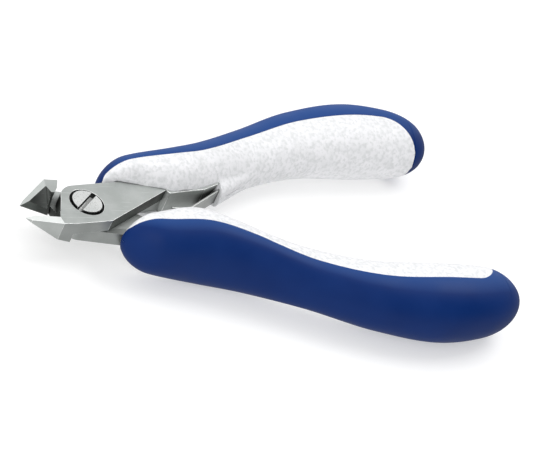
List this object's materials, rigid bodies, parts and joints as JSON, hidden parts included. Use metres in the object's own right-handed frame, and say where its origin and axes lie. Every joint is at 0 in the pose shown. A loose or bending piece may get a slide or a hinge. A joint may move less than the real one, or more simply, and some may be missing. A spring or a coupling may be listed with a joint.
{
  "type": "flush cut pliers",
  "caption": "Small flush cut pliers with a slotted pivot screw, a tapered lap-jointed head, leaf springs and soft two-colour handles, drawn open.",
  "frame": {"origin": "on the pivot axis, at the flat back face of the head", "axes": "+X along the centre line from the jaws to the handles, +Y towards the upper handle, +Z along the pivot axis to the slotted screw head"},
  "size_m": [0.1198, 0.075, 0.0171],
  "materials": {
    "tool_steel": "fine satin ground steel with brighter edges",
    "screw_steel": "turned and lightly polished",
    "spring_steel": "rolled strip, satin",
    "speckled_plastic": "light grey moulded plastic with a faint darker speckle",
    "blue_grip": "soft matt overmould with a fine moulded texture"
  },
  "bodies": {
    "back_side": {"back_half": "tool_steel", "pivot_screw": "screw_steel", "lower_core": "speckled_plastic", "lower_grip": "blue_grip"},
    "front_side": {"front_half": "tool_steel", "upper_core": "speckled_plastic", "upper_grip": "blue_grip"},
    "upper_spring": {"upper_spring": "spring_steel"},
    "lower_spring": {"lower_spring": "spring_steel"}
  },
  "joints": [
    {"name": "jaw_pivot", "type": "hinge", "parent": "back_side", "child": "front_side", "pos_m": [0, 0, 0.00325], "axis": [0, 0, 1], "range_deg": [-14.5, 0], "stiffness_Nm_per_rad": 0.6},
    {"name": "upper_spring_bend", "type": "hinge", "parent": "front_side", "child": "upper_spring", "pos_m": [0, 0, 0.00325], "axis": [0, 0, 1], "range_deg": [0, 7.3], "deforming": ["upper_spring"]},
    {"name": "lower_spring_bend", "type": "hinge", "parent": "back_side", "child": "lower_spring", "pos_m": [0, 0, 0.00325], "axis": [0, 0, 1], "range_deg": [-7.3, 0], "deforming": ["lower_spring"]}
  ],
  "couplings": [
    {"joint": "upper_spring_bend", "follows": "jaw_pivot", "ratio": -0.5},
    {"joint": "lower_spring_bend", "follows": "jaw_pivot", "ratio": 0.5}
  ]
}
